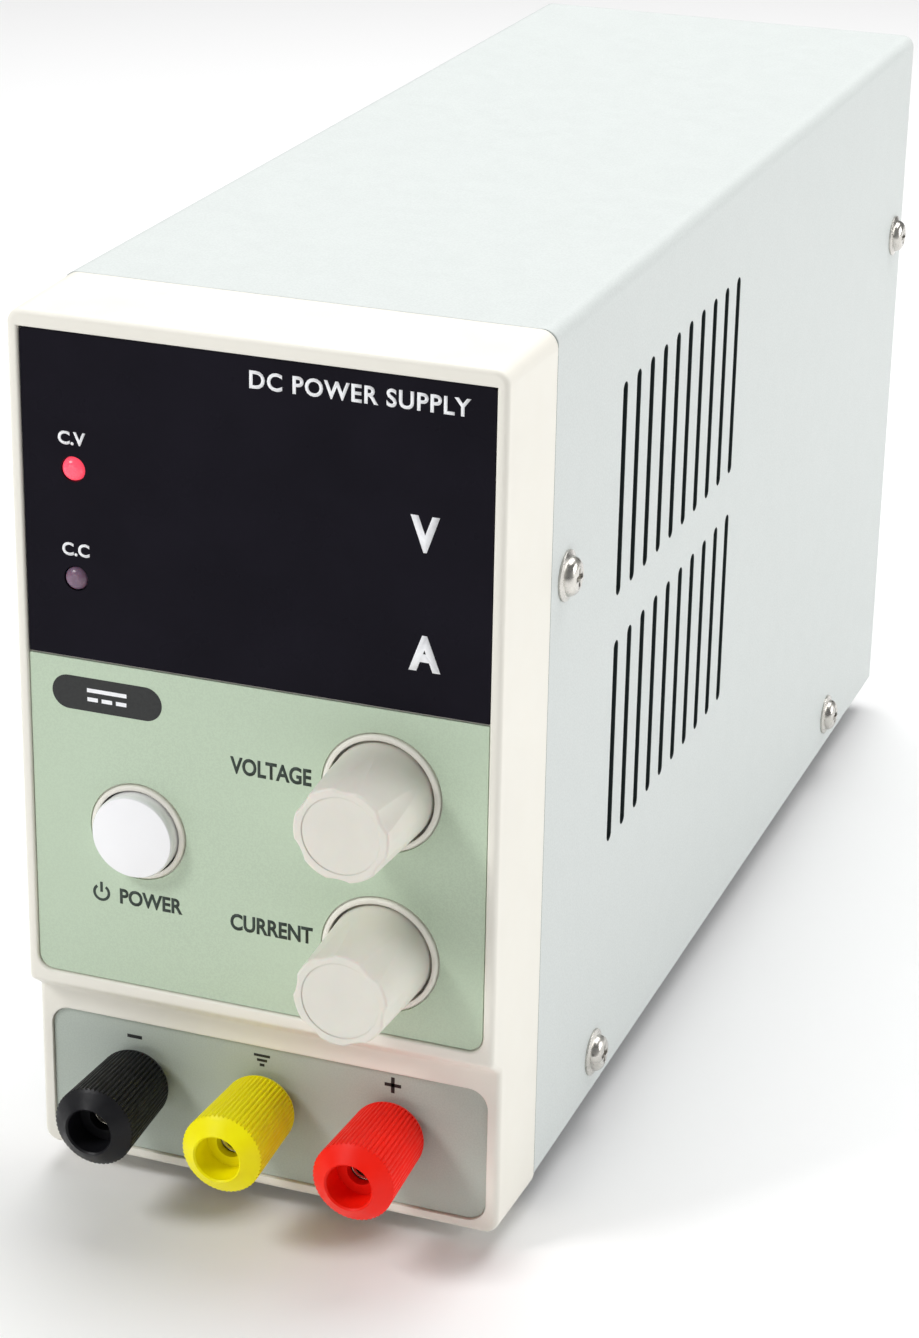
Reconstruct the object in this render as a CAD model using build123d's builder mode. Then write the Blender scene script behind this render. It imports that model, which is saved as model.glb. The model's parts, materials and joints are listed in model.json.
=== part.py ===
"""Bench DC power supply: moulded front bezel, bent steel chassis and cover, and what they hold.

Frame: millimetres, +Z up, the front faces -Y, +X is to the right as seen from the front.
The origin is on the table, under the middle of the instrument's overall length.
"""
from build123d import *
import math
import os

os.makedirs("parts", exist_ok=True)

# ---------------------------------------------------------------- driving dimensions
CASE_W = 86.0            # outside width of the cover
CASE_H = 155.0           # from the bezel's lower edge to the top of the cover
CASE_D = 263.0           # from the bezel's face to the rear edge of the cover
FOOT_GAP = 4.0           # from the table to the bezel's lower edge
KNOB_REACH = 17.0        # knobs stand this far ahead of the bezel's face
REAR_REACH = 3.0         # fan screws stand this far behind the cover's rear edge

BEZEL_DEPTH = 21.5
BEZEL_DRAFT = 0.5        # the bezel is this much smaller on each side at its face
BEZEL_WALL = 2.5
FRONT_WALL = 3.5
CORNER_R = 3.0
EDGE_R = 1.0
STEP_HEIGHT = 34.3       # lower edge of the upper panel, above the bezel's lower edge
STEP_DEPTH = 4.0         # the terminal panel lies this far behind the upper panel
STEP_SLOPE = 3.0         # height over which the ledge slopes back

SHEET = 1.0              # cover sheet
CHASSIS_SHEET = 1.2
COVER_GAP = 2.5          # the cover's lower edge above the bezel's lower edge
BEND_R = 2.5
FIT = 0.1                # gap between the cover and the chassis flanges
FILM_GAP = 0.4           # gap across a window, film or label and the recess it lies in

PANEL_W = 81.2           # printed overlay and display window
LIP = 0.5                # the bezel's face stands this much ahead of the overlay
FILM = 0.5
LENS = 2.0

KNOB_X = 22.2
VOLTAGE_H = 80.4
CURRENT_H = 51.2
BUTTON_X = -21.3
BUTTON_H = 65.6
LED_X = -31.5
CV_H = 128.2
CC_H = 109.4
POST_X = 23.6
POST_H = 16.6
LABEL_H = 14.6           # middle of the terminal label
LABEL_SIZE = (80.8, 25.4)

# ---------------------------------------------------------------- derived places
FACE_Y = -(CASE_D + REAR_REACH - KNOB_REACH) / 2
BACK_Y = FACE_Y + CASE_D
SEAM_Y = FACE_Y + BEZEL_DEPTH
TERMINAL_Y = FACE_Y + STEP_DEPTH
BASE_Z = FOOT_GAP + BEZEL_DRAFT          # lower edge of the bezel's face
TOP_Z = FOOT_GAP + CASE_H
MID_Z = FOOT_GAP + CASE_H / 2
COVER_Z = FOOT_GAP + BEZEL_DRAFT + COVER_GAP
PANEL_TOP = BASE_Z + 151.3
WINDOW_BOTTOM = BASE_Z + 95.3
OVERLAY_BOTTOM = BASE_Z + 36.5
FILM_BACK_Y = FACE_Y + LIP + FILM
CHASSIS_W = CASE_W - 2 * SHEET - 2 * FIT
FLOOR_Z = COVER_Z + CHASSIS_SHEET        # upper face of the chassis floor
REAR_FACE_Y = BACK_Y - 1.0               # outer face of the rear wall
REAR_INNER_Y = REAR_FACE_Y - CHASSIS_SHEET
FRONT_WALL_Y = SEAM_Y + 1.0              # front face of the chassis front wall
WALL_TOP = TOP_Z - SHEET - 0.4


def facing(y):
    """A drawing plane at depth y that faces the front: its x is +X and its y is +Z."""
    return Plane.XZ.offset(-y)


def level(z):
    """A drawing plane at height z."""
    return Plane.XY.offset(z)


def save(piece, name):
    """Labels a finished piece and writes it."""
    piece.part.label = name
    export_step(piece.part, f"parts/{name}.step")


# ---------------------------------------------------------------- front bezel
COLLAR_R = 20.5 / 2
WELL_R = 18.7 / 2
COLLAR_GAP = 0.3         # bare ring between a collar and the overlay film
BUTTON_COLLAR_R = 17.0 / 2
BUTTON_WELL_R = 15.3 / 2
WELL_FLOOR_Y = FACE_Y + 2.9
STUD_HOLE_R = 3.0
BEZEL_BOSS_X = 37.4
BEZEL_BOSS_HEIGHTS = (BASE_Z + 42.0, BASE_Z + 146.0)
BOSS_PLACES = [(side * BEZEL_BOSS_X, z) for side in (-1, 1) for z in BEZEL_BOSS_HEIGHTS]
KNOB_PLACES = [(KNOB_X, BASE_Z + VOLTAGE_H), (KNOB_X, BASE_Z + CURRENT_H)]
BUTTON_PLACE = (BUTTON_X, BASE_Z + BUTTON_H)
POST_PLACES = [(x, BASE_Z + POST_H) for x in (-POST_X, 0.0, POST_X)]
LED_PLACES = [(LED_X, BASE_Z + CV_H), (LED_X, BASE_Z + CC_H)]

with BuildPart() as front_bezel:
    with BuildSketch(facing(SEAM_Y)):
        with Locations((0, MID_Z)):
            RectangleRounded(CASE_W, CASE_H, CORNER_R)
    extrude(amount=BEZEL_DEPTH, taper=math.degrees(math.atan(BEZEL_DRAFT / BEZEL_DEPTH)))
    # the ledge: the terminal panel lies behind the control panel
    with BuildSketch(Plane.YZ):
        with BuildLine():
            Polyline(
                (FACE_Y - 1, 0),
                (FACE_Y - 1, BASE_Z + STEP_HEIGHT),
                (FACE_Y, BASE_Z + STEP_HEIGHT),
                (TERMINAL_Y, BASE_Z + STEP_HEIGHT - STEP_SLOPE),
                (TERMINAL_Y, 0),
                close=True,
            )
        make_face()
    extrude(amount=CASE_W, both=True, mode=Mode.SUBTRACT)
    front_edges = front_bezel.edges().filter_by(lambda edge: edge.center().Y < TERMINAL_Y + EDGE_R)
    fillet(front_edges, EDGE_R)
    # hollow behind the front walls
    with BuildSketch(facing(SEAM_Y)):
        with Locations((0, MID_Z)):
            RectangleRounded(CASE_W - 2 * BEZEL_WALL, CASE_H - 2 * BEZEL_WALL, 1.5)
    extrude(amount=BEZEL_DEPTH - STEP_DEPTH - FRONT_WALL, mode=Mode.SUBTRACT)
    upper_hollow = (BASE_Z + STEP_HEIGHT + 1.0, TOP_Z - BEZEL_WALL - BEZEL_DRAFT)
    with BuildSketch(facing(FACE_Y + FRONT_WALL)):
        with Locations((0, sum(upper_hollow) / 2)):
            Rectangle(CASE_W - 2 * BEZEL_WALL - 1, upper_hollow[1] - upper_hollow[0])
    extrude(amount=-(STEP_DEPTH + 0.1), mode=Mode.SUBTRACT)
    # recess for the overlay film, its bottom corners rounder than its top ones
    with BuildSketch(facing(FACE_Y)) as overlay_outline:
        with Locations((0, (PANEL_TOP + OVERLAY_BOTTOM) / 2)):
            Rectangle(PANEL_W, PANEL_TOP - OVERLAY_BOTTOM)
        fillet(overlay_outline.vertices().group_by(Axis.Y)[0], 2.75)
        fillet(overlay_outline.vertices().group_by(Axis.Y)[-1], 1.0)
    extrude(amount=-(LIP + FILM), mode=Mode.SUBTRACT)
    # deeper seat for the display window, and the opening behind it
    window_mid = (PANEL_TOP + WINDOW_BOTTOM) / 2
    window_h = PANEL_TOP - WINDOW_BOTTOM
    with BuildSketch(facing(FACE_Y)):
        with Locations((0, window_mid)):
            Rectangle(PANEL_W, window_h)
    extrude(amount=-(LIP + LENS), mode=Mode.SUBTRACT)
    with BuildSketch(facing(FACE_Y)):
        with Locations((0, window_mid)):
            Rectangle(PANEL_W - 5.0, window_h - 5.0)
    extrude(amount=-FRONT_WALL - 1, mode=Mode.SUBTRACT)
    # recess for the terminal label
    with BuildSketch(facing(TERMINAL_Y)):
        with Locations((0, BASE_Z + LABEL_H)):
            RectangleRounded(*LABEL_SIZE, 3.5)
    extrude(amount=-(LIP + FILM), mode=Mode.SUBTRACT)
    # collars round the knobs and the power button
    with BuildSketch(facing(WELL_FLOOR_Y)):
        with Locations(*KNOB_PLACES):
            Circle(COLLAR_R)
        with Locations(BUTTON_PLACE):
            Circle(BUTTON_COLLAR_R)
    extrude(amount=WELL_FLOOR_Y - FACE_Y)
    fillet(front_bezel.edges().filter_by(GeomType.CIRCLE).filter_by_position(
        Axis.Y, FACE_Y - 0.01, FACE_Y + 0.01), 0.45)
    with BuildSketch(facing(FACE_Y - 1)):
        with Locations(*KNOB_PLACES):
            Circle(WELL_R)
    extrude(amount=-(WELL_FLOOR_Y - FACE_Y + 1), mode=Mode.SUBTRACT)
    with BuildSketch(facing(FACE_Y - 1)):
        with Locations(*KNOB_PLACES):
            Circle(5.0)
        with Locations(BUTTON_PLACE):
            Circle(BUTTON_WELL_R)
    extrude(amount=-(FRONT_WALL + 2), mode=Mode.SUBTRACT)
    # holes for the binding posts
    with BuildSketch(facing(TERMINAL_Y - 1)):
        with Locations(*POST_PLACES):
            Circle(STUD_HOLE_R)
    extrude(amount=-(FRONT_WALL + 2), mode=Mode.SUBTRACT)
    # screw bosses that carry the bezel on the chassis front wall
    with BuildSketch(facing(FRONT_WALL_Y)):
        with Locations(*BOSS_PLACES):
            Circle(3.2)
    extrude(amount=FRONT_WALL_Y - FACE_Y - FRONT_WALL)
    with BuildSketch(facing(FRONT_WALL_Y)):
        with Locations(*BOSS_PLACES):
            Circle(1.5)
    extrude(amount=10.0, mode=Mode.SUBTRACT)
save(front_bezel, "front_bezel")


# ---------------------------------------------------------------- window, overlay film, terminal label
with BuildPart() as display_window:
    with BuildSketch(facing(FACE_Y + LIP)) as window_outline:
        with Locations((0, (PANEL_TOP + WINDOW_BOTTOM) / 2)):
            Rectangle(PANEL_W - FILM_GAP, PANEL_TOP - WINDOW_BOTTOM - FILM_GAP)
        fillet(window_outline.vertices().group_by(Axis.Y)[-1], 1.0)
        with Locations(*LED_PLACES):
            Circle(2.15, mode=Mode.SUBTRACT)
    extrude(amount=-LENS)
save(display_window, "display_window")

with BuildPart() as control_overlay:
    with BuildSketch(facing(FACE_Y + LIP)) as film_outline:
        with Locations((0, (WINDOW_BOTTOM + OVERLAY_BOTTOM) / 2)):
            Rectangle(PANEL_W - FILM_GAP, WINDOW_BOTTOM - OVERLAY_BOTTOM - FILM_GAP)
        fillet(film_outline.vertices().group_by(Axis.Y)[0], 2.7)
        with Locations(*KNOB_PLACES):
            Circle(COLLAR_R + COLLAR_GAP, mode=Mode.SUBTRACT)
        with Locations(BUTTON_PLACE):
            Circle(BUTTON_COLLAR_R + COLLAR_GAP, mode=Mode.SUBTRACT)
    extrude(amount=-FILM)
save(control_overlay, "control_overlay")

with BuildPart() as terminal_overlay:
    with BuildSketch(facing(TERMINAL_Y + LIP)):
        with Locations((0, BASE_Z + LABEL_H)):
            RectangleRounded(LABEL_SIZE[0] - FILM_GAP, LABEL_SIZE[1] - FILM_GAP, 3.4)
        with Locations(*POST_PLACES):
            Circle(STUD_HOLE_R, mode=Mode.SUBTRACT)
    extrude(amount=-FILM)
save(terminal_overlay, "terminal_overlay")

# ---------------------------------------------------------------- cover
SLOT_COUNT = 10
SLOT_PITCH = 7.66
SLOT_START_Y = FACE_Y + 58.2
SLOT_W = 2.5
SLOT_L = 38.4
SLOT_HEIGHTS = (BASE_Z + 69.4, BASE_Z + 116.3)
FRONT_SCREW = (FACE_Y + 29.3, BASE_Z + 110.9)
REAR_SCREW = (FACE_Y + 256.0, BASE_Z + 111.4)
LOW_FRONT_SCREW = (FACE_Y + 53.4, BASE_Z + 10.0)
LOW_REAR_SCREW = (FACE_Y + 220.1, BASE_Z + 9.9)
COVER_SCREWS = (FRONT_SCREW, REAR_SCREW, LOW_FRONT_SCREW, LOW_REAR_SCREW)
COVER_SCREW_R = 1.9

with BuildPart() as top_cover:
    with BuildSketch(facing(SEAM_Y + FIT)) as channel:
        with Locations((0, (COVER_Z + TOP_Z) / 2)):
            Rectangle(CASE_W, TOP_Z - COVER_Z)
        fillet(channel.vertices().group_by(Axis.Y)[-1], BEND_R)
        with BuildSketch(facing(SEAM_Y + FIT), mode=Mode.SUBTRACT) as inside:
            with Locations((0, (COVER_Z + TOP_Z) / 2 - SHEET)):
                Rectangle(CASE_W - 2 * SHEET, TOP_Z - COVER_Z)
            fillet(inside.vertices().group_by(Axis.Y)[-1], BEND_R - SHEET)
    extrude(amount=-(BACK_Y - SEAM_Y - FIT))
    with BuildSketch(Plane.YZ):
        for height in SLOT_HEIGHTS:
            for i in range(SLOT_COUNT):
                with Locations((SLOT_START_Y + i * SLOT_PITCH, height)):
                    SlotOverall(SLOT_L, SLOT_W, rotation=90)
        with Locations(*COVER_SCREWS):
            Circle(COVER_SCREW_R + FIT)
    extrude(amount=CASE_W, both=True, mode=Mode.SUBTRACT)
save(top_cover, "top_cover")

# ---------------------------------------------------------------- chassis: floor, side flanges, end walls
FLANGE_H = 15.0
END_FLANGE = 12.0
FAN_PLACE = (0.0, BASE_Z + 110.0)
FAN_SIZE = 60.0
FAN_HOLES = 50.0
FAN_SCREW_R = 1.9
INLET_PLACE = (-13.0, BASE_Z + 40.0)
INLET_CUT = (28.0, 32.0)
SELECTOR_PLACE = (26.0, BASE_Z + 40.0)
SELECTOR_CUT = (11.0, 24.0)
FOOT_X = 31.0
FOOT_YS = (FACE_Y + 30.0, BACK_Y - 28.0)
FOOT_PLACES = [(side * FOOT_X, y) for side in (-1, 1) for y in FOOT_YS]
STANDOFF_X = 32.0
PCB_Y = (FACE_Y + 36.0, FACE_Y + 212.0)
STANDOFF_YS = (PCB_Y[0] + 6.0, PCB_Y[1] - 6.0)
STANDOFF_PLACES = [(side * STANDOFF_X, y) for side in (-1, 1) for y in STANDOFF_YS]
CHASSIS_Y = (FRONT_WALL_Y, REAR_FACE_Y)

with BuildPart() as base_chassis:
    # floor and side flanges: one shallow channel
    with BuildSketch(facing(CHASSIS_Y[0])):
        with Locations((0, COVER_Z + FLANGE_H / 2)):
            Rectangle(CHASSIS_W, FLANGE_H)
        with Locations((0, FLOOR_Z + FLANGE_H / 2)):
            Rectangle(CHASSIS_W - 2 * CHASSIS_SHEET, FLANGE_H, mode=Mode.SUBTRACT)
    extrude(amount=-(CHASSIS_Y[1] - CHASSIS_Y[0]))
    # front and rear walls
    wall_mid = (COVER_Z + WALL_TOP) / 2
    for wall_y in (CHASSIS_Y[0], REAR_INNER_Y):
        with BuildSketch(facing(wall_y)) as wall:
            with Locations((0, wall_mid)):
                Rectangle(CHASSIS_W, WALL_TOP - COVER_Z)
            fillet(wall.vertices().group_by(Axis.Y)[-1], BEND_R)
        extrude(amount=-CHASSIS_SHEET)
    # side tabs on both walls, where the upper cover screws bite
    tab_bottom = COVER_Z + FLANGE_H
    tab_x = (CHASSIS_W - CHASSIS_SHEET) / 2
    for tab_y in (CHASSIS_Y[0] + END_FLANGE / 2, CHASSIS_Y[1] - END_FLANGE / 2):
        with BuildSketch(level(tab_bottom)):
            with Locations((-tab_x, tab_y), (tab_x, tab_y)):
                Rectangle(CHASSIS_SHEET, END_FLANGE)
        extrude(amount=WALL_TOP - tab_bottom - BEND_R)
    # screw holes through the flanges and tabs
    with BuildSketch(Plane.YZ):
        with Locations(*COVER_SCREWS):
            Circle(COVER_SCREW_R)
    extrude(amount=CASE_W, both=True, mode=Mode.SUBTRACT)
    # front wall: a large opening behind the controls, and the bezel screw holes
    with BuildSketch(facing(CHASSIS_Y[0] - 1)):
        with Locations((0, BASE_Z + 82.0)):
            RectangleRounded(62.0, 118.0, 3.0)
        with Locations(*BOSS_PLACES):
            Circle(1.6)
    extrude(amount=-(CHASSIS_SHEET + 2), mode=Mode.SUBTRACT)
    # rear wall: fan, inlet and selector openings
    with BuildSketch(facing(REAR_INNER_Y - 1)):
        with Locations(FAN_PLACE):
            Circle(28.5)
            with GridLocations(FAN_HOLES, FAN_HOLES, 2, 2):
                Circle(FAN_SCREW_R + FIT)
        with Locations(INLET_PLACE):
            Rectangle(*INLET_CUT)
        with Locations(SELECTOR_PLACE):
            Rectangle(*SELECTOR_CUT)
    extrude(amount=-(CHASSIS_SHEET + 2), mode=Mode.SUBTRACT)
    # floor: foot and standoff screw holes
    with BuildSketch(level(COVER_Z - 1)):
        with Locations(*FOOT_PLACES, *STANDOFF_PLACES):
            Circle(1.6)
    extrude(amount=CHASSIS_SHEET + 2, mode=Mode.SUBTRACT)
save(base_chassis, "base_chassis")


# ---------------------------------------------------------------- screws
def pan_screw(shank_r, length, head_r, head_h, flange_r=0.0):
    """A cross-recess pan screw on the Z axis: head above z = 0, shank below it."""
    with BuildPart() as screw:
        with BuildSketch(Plane.XZ):
            with BuildLine():
                top_r = head_r * 0.45
                Line((0, -length), (shank_r, -length))
                Line((shank_r, -length), (shank_r, 0))
                if flange_r:
                    Polyline((shank_r, 0), (flange_r, 0), (flange_r, 0.35), (head_r, 0.75))
                    start = (head_r, 0.75)
                else:
                    Polyline((shank_r, 0), (head_r, 0), (head_r, head_h * 0.35))
                    start = (head_r, head_h * 0.35)
                ThreePointArc(start, (head_r * 0.82, head_h * 0.85), (top_r, head_h))
                Polyline((top_r, head_h), (0, head_h), (0, -length))
            make_face()
        revolve(axis=Axis.Z)
        with BuildSketch(level(head_h)):
            Rectangle(head_r * 1.15, head_r * 0.28)
            Rectangle(head_r * 0.28, head_r * 1.15)
        extrude(amount=-head_h * 0.7, taper=12, mode=Mode.SUBTRACT)
    return screw.part


def group(pieces):
    """Holds several separate identical solids as one node."""
    with BuildPart() as held:
        for piece in pieces:
            add(piece)
    return held


def side_place(side, y, z, x):
    """A plane on the flank at (y, z) whose normal points outwards."""
    return Plane(origin=(side * x, y, z), x_dir=(0, side, 0), z_dir=(side, 0, 0))


cover_screw = pan_screw(COVER_SCREW_R, 6.0, 3.4, 2.3, flange_r=4.35)
save(group([side_place(side, y, z, CASE_W / 2) * cover_screw
            for side in (-1, 1) for y, z in COVER_SCREWS]), "cover_screws")

small_screw = pan_screw(1.5, 7.0, 2.8, 1.8)


def at_rear(x, y, z):
    """A plane at a point that faces the rear."""
    return Plane(origin=(x, y, z), x_dir=(-1, 0, 0), z_dir=(0, 1, 0))


save(group([at_rear(x, FRONT_WALL_Y + CHASSIS_SHEET, z) * small_screw
            for x, z in BOSS_PLACES]), "bezel_screws")

# ---------------------------------------------------------------- feet
FOOT_R = 7.5
FOOT_H = COVER_Z

with BuildPart() as rubber_feet:
    for foot_x, foot_y in FOOT_PLACES:
        with BuildSketch(level(COVER_Z)):
            with Locations((foot_x, foot_y)):
                Circle(FOOT_R)
        extrude(amount=-FOOT_H, taper=6)
    chamfer(rubber_feet.faces().filter_by(Axis.Z).group_by(Axis.Z)[0].edges(), 0.6)
    with BuildSketch(level(0)):
        with Locations(*FOOT_PLACES):
            Circle(3.4)
    extrude(amount=3.2, mode=Mode.SUBTRACT)
    with BuildSketch(level(0)):
        with Locations(*FOOT_PLACES):
            Circle(1.6)
    extrude(amount=COVER_Z + 1, mode=Mode.SUBTRACT)
save(rubber_feet, "rubber_feet")

foot_screw = pan_screw(1.5, 7.5, 2.8, 1.8)
save(group([Plane(origin=(x, y, 3.2), x_dir=(1, 0, 0), z_dir=(0, 0, -1)) * foot_screw
            for x, y in FOOT_PLACES]), "foot_screws")

# ---------------------------------------------------------------- knobs and potentiometers
KNOB_BASE_R = 17.9 / 2
KNOB_FACE_R = 16.3 / 2
KNOB_LOBES = 6
FLUTE_R = 8.0
FLUTE_DEPTH = 0.5        # at the face
FLUTE_TILT = 4.6         # the flutes run out towards the base
KNOB_BACK_Y = FACE_Y + 2.2
KNOB_FACE_Y = FACE_Y - KNOB_REACH
SHAFT_R = 3.0
POT_BOARD_Y = FACE_Y + 9.0
BOARD_T = 1.6
POT_BODY_Y = POT_BOARD_Y + BOARD_T


def make_knob(x, z, turn):
    """A tapered knob whose six shallow flutes fade out towards its base."""
    with BuildPart() as knob:
        with BuildSketch(Plane.XZ.offset(-KNOB_BACK_Y)):
            with Locations((x, z)):
                Circle(KNOB_BASE_R)
        with BuildSketch(Plane.XZ.offset(-KNOB_FACE_Y)):
            with Locations((x, z)):
                Circle(KNOB_FACE_R)
        loft()
        front = Plane(origin=(x, KNOB_FACE_Y - 0.5, z), x_dir=(1, 0, 0), z_dir=(0, -1, 0))
        with Locations(front):
            with PolarLocations(KNOB_FACE_R - FLUTE_DEPTH + FLUTE_R, KNOB_LOBES, start_angle=turn):
                Cylinder(FLUTE_R, 26.0, rotation=(0, -FLUTE_TILT, 0), mode=Mode.SUBTRACT)
        fillet(knob.faces().sort_by(Axis.Y)[0].edges(), 0.45)
        with BuildSketch(Plane.XZ.offset(-KNOB_FACE_Y)):
            with Locations((x, z)):
                Circle(KNOB_FACE_R - 1.5)
        extrude(amount=-0.12, mode=Mode.SUBTRACT)
        with BuildSketch(Plane.XZ.offset(-KNOB_BACK_Y)):
            with Locations((x, z)):
                Circle(SHAFT_R)
        extrude(amount=14.0, mode=Mode.SUBTRACT)
    return knob


def make_shaft(x, z):
    """The potentiometer's shaft, from inside its body to deep inside the knob."""
    with BuildPart() as shaft:
        with BuildSketch(facing(POT_BODY_Y + 4.0)):
            with Locations((x, z)):
                Circle(SHAFT_R)
        extrude(amount=POT_BODY_Y + 4.0 - KNOB_BACK_Y + 13.0)
        chamfer(shaft.faces().sort_by(Axis.Y)[0].edges(), 0.5)
    return shaft


def make_potentiometer(x, z):
    """Potentiometer: round can, square foot of terminals and a threaded bush."""
    with BuildPart() as pot:
        with BuildSketch(facing(POT_BODY_Y)):
            with Locations((x, z)):
                Circle(8.2)
            with Locations((x, z - 7.0)):
                Rectangle(12.0, 8.0)
        extrude(amount=-7.5)
        with BuildSketch(facing(POT_BODY_Y)):
            with Locations((x, z)):
                Circle(3.5)
        extrude(amount=POT_BODY_Y - FACE_Y - 3.4)
        with BuildSketch(facing(FACE_Y + 3.4)):
            with Locations((x, z)):
                Circle(SHAFT_R + 0.06)
        extrude(amount=-(POT_BODY_Y + 4.2 - FACE_Y - 3.4), mode=Mode.SUBTRACT)
    return pot


for name, (knob_x, knob_z), turn in zip(("voltage", "current"), KNOB_PLACES, (27.0, 50.0)):
    save(make_knob(knob_x, knob_z, turn), f"{name}_knob")
    save(make_shaft(knob_x, knob_z), f"{name}_shaft")
    save(make_potentiometer(knob_x, knob_z), f"{name}_potentiometer")

with BuildPart() as pot_nuts:
    with BuildSketch(facing(POT_BOARD_Y)):
        with Locations(*KNOB_PLACES):
            RegularPolygon(5.0, 6, major_radius=False)
            Circle(3.5, mode=Mode.SUBTRACT)
    extrude(amount=2.0)
save(pot_nuts, "pot_nuts")

# ---------------------------------------------------------------- power button and its switch
BUTTON_R = 14.7 / 2
BUTTON_PROUD = 2.8
BUTTON_DOME_R = 45.0
BUTTON_TRAVEL = 3.0
STEM = 5.0
SWITCH_Y = POT_BODY_Y
SWITCH_SIZE = (14.0, 13.0, 18.0)

with BuildPart() as power_button:
    with BuildSketch(facing(FACE_Y + 3.0)):
        with Locations(BUTTON_PLACE):
            Circle(BUTTON_R)
    extrude(amount=3.0 + BUTTON_PROUD)
    fillet(power_button.faces().sort_by(Axis.Y)[0].edges(), 1.3)
    dome_centre_y = FACE_Y - BUTTON_PROUD + BUTTON_DOME_R
    with Locations((BUTTON_PLACE[0], dome_centre_y, BUTTON_PLACE[1])):
        Sphere(BUTTON_DOME_R, mode=Mode.INTERSECT)
    with BuildSketch(facing(FACE_Y + 3.0)):
        with Locations(BUTTON_PLACE):
            Rectangle(STEM, STEM)
    extrude(amount=-(SWITCH_Y + 6.0 - FACE_Y - 3.0))
save(power_button, "power_button")

with BuildPart() as power_switch:
    with BuildSketch(facing(SWITCH_Y)):
        with Locations(BUTTON_PLACE):
            Rectangle(SWITCH_SIZE[0], SWITCH_SIZE[1])
    extrude(amount=-SWITCH_SIZE[2])
    with BuildSketch(facing(SWITCH_Y)):
        with Locations(BUTTON_PLACE):
            Rectangle(STEM + 0.6, STEM + 0.6)
    extrude(amount=-(6.0 + BUTTON_TRAVEL + 1.0), mode=Mode.SUBTRACT)
    terminal_top = BUTTON_PLACE[1] - SWITCH_SIZE[1] / 2
    with BuildSketch(level(terminal_top)):
        with Locations((BUTTON_X, SWITCH_Y + 12.0)):
            with GridLocations(5.0, 5.0, 2, 2):
                Rectangle(0.8, 2.0)
    extrude(amount=-4.0)
save(power_switch, "power_switch")

# ---------------------------------------------------------------- display board
BOARD_SIZE = (68.0, 106.0)
BOARD_MID = (0.0, BASE_Z + 95.0)
DIGITS = 4
DIGIT_SIZE = (44.0, 14.0, 6.3)
DISPLAY_PLACES = {"voltage_display": (-2.0, BASE_Z + 128.2), "current_display": (-2.0, BASE_Z + 109.4)}

with BuildPart() as display_board:
    with BuildSketch(facing(POT_BOARD_Y)):
        with Locations(BOARD_MID):
            Rectangle(*BOARD_SIZE)
        with Locations(*KNOB_PLACES):
            Circle(3.6, mode=Mode.SUBTRACT)
        with Locations(BUTTON_PLACE):
            Rectangle(STEM + 1.0, STEM + 1.0, mode=Mode.SUBTRACT)
    extrude(amount=-BOARD_T)
save(display_board, "display_board")

for name, (display_x, display_z) in DISPLAY_PLACES.items():
    with BuildPart() as display:
        with BuildSketch(facing(POT_BOARD_Y)):
            with Locations((display_x, display_z)):
                Rectangle(DIGIT_SIZE[0], DIGIT_SIZE[1])
        extrude(amount=DIGIT_SIZE[2])
    save(display, name)

for name, (led_x, led_z) in zip(("cv_led", "cc_led"), LED_PLACES):
    with BuildPart() as led:
        with BuildSketch(facing(POT_BOARD_Y)):
            with Locations((led_x, led_z)):
                Circle(2.4)
        extrude(amount=POT_BOARD_Y - FACE_Y - FRONT_WALL)
        with BuildSketch(facing(FACE_Y + FRONT_WALL)):
            with Locations((led_x, led_z)):
                Circle(2.05)
        extrude(amount=FRONT_WALL + 0.3)
        fillet(led.faces().sort_by(Axis.Y)[0].edges(), 1.6)
    save(led, name)

# ---------------------------------------------------------------- binding posts
STUD_R = 2.8
SOCKET_R = 2.0
SOCKET_DEPTH = 14.0
LABEL_Y = TERMINAL_Y + LIP               # front face of the terminal label
POST_INNER_Y = TERMINAL_Y + FRONT_WALL   # back of the terminal panel
STUD_BACK_Y = POST_INNER_Y + 9.0
WASHER_T = 0.6
WASHER_R = 4.2
CAP_BACK_Y = LABEL_Y - WASHER_T - 0.2
CAP_LENGTH = 20.1
CAP_FRONT_Y = CAP_BACK_Y - CAP_LENGTH
CAP_R = 7.2                              # at the front of the knurled length
CAP_REAR_R = 6.5
CAP_MOUTH_R = 4.0
CAP_MOUTH_DEPTH = 5.2
CAP_PLUG_R = 2.3                         # hole in the floor of the mouth
STUD_FRONT_Y = CAP_FRONT_Y + CAP_MOUTH_DEPTH + 2.0
STUD_BORE_R = STUD_R + 0.3
INSERT_R = 4.3
INSERT_Y = (CAP_BACK_Y - 9.0, CAP_BACK_Y - 2.6)
KNURLS = 54
KNURL_W = 0.5
KNURL_Y = (CAP_FRONT_Y + 2.2, CAP_BACK_Y - 3.2)
KNURL_TILT = math.degrees(math.atan((CAP_R - CAP_REAR_R) / (KNURL_Y[1] - KNURL_Y[0])))
NUT_T = 2.5
LUG_T = 0.8
LUG_BACK_Y = POST_INNER_Y + NUT_T + LUG_T

with BuildPart() as post_studs:
    with BuildSketch(facing(STUD_BACK_Y)):
        with Locations(*POST_PLACES):
            Circle(STUD_R)
    extrude(amount=STUD_BACK_Y - STUD_FRONT_Y)
    with BuildSketch(facing(STUD_FRONT_Y)):
        with Locations(*POST_PLACES):
            Circle(SOCKET_R)
    extrude(amount=-SOCKET_DEPTH, mode=Mode.SUBTRACT)
    socket_rims = post_studs.edges().filter_by(GeomType.CIRCLE).filter_by_position(
        Axis.Y, STUD_FRONT_Y - 0.01, STUD_FRONT_Y + 0.01)
    chamfer(socket_rims, 0.3)
save(post_studs, "post_studs")

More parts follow.
